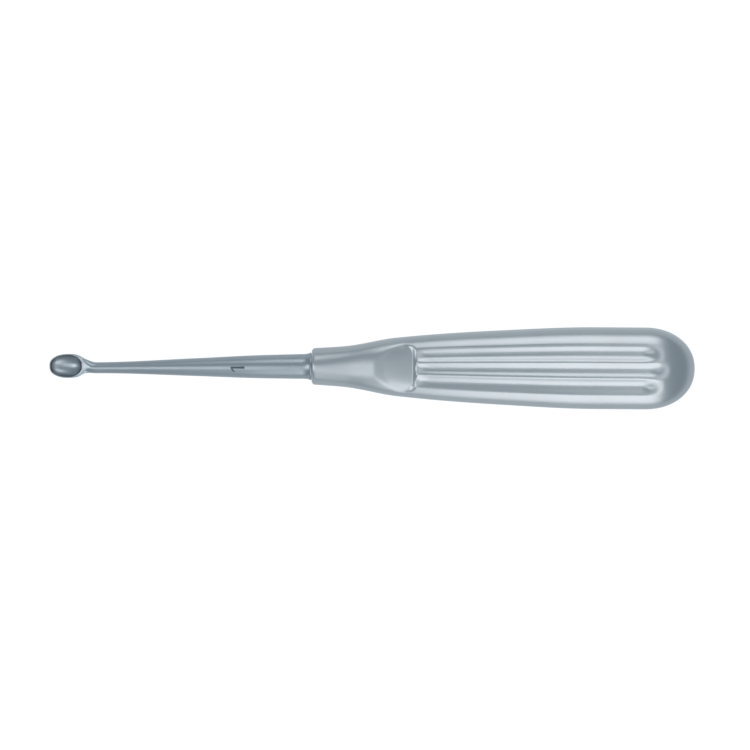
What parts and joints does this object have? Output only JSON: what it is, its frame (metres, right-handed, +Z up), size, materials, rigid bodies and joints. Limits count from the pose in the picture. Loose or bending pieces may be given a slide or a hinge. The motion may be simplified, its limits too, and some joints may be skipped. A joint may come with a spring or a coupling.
{
  "type": "bone curette",
  "caption": "Bone curette with an oval cup on a tapered round shank, set in a hollow handle with pressed flutes and a thumb rest, all in satin stainless steel",
  "frame": {"origin": "centre of the bottom of the object's box, on the surface that it lies on", "axes": "+X from the cup to the butt of the handle, +Y to the left seen from the butt with the face up, +Z up out of the face with the thumb rest"},
  "size_m": [0.17, 0.0216, 0.0168],
  "materials": {
    "blade_steel": "fine ground stainless steel, soft sheen",
    "handle_steel": "satin matt stainless steel"
  },
  "bodies": {
    "root": {"cup_and_shank": "blade_steel", "handle_face_shell": "handle_steel", "handle_back_shell": "handle_steel"}
  },
  "joints": []
}
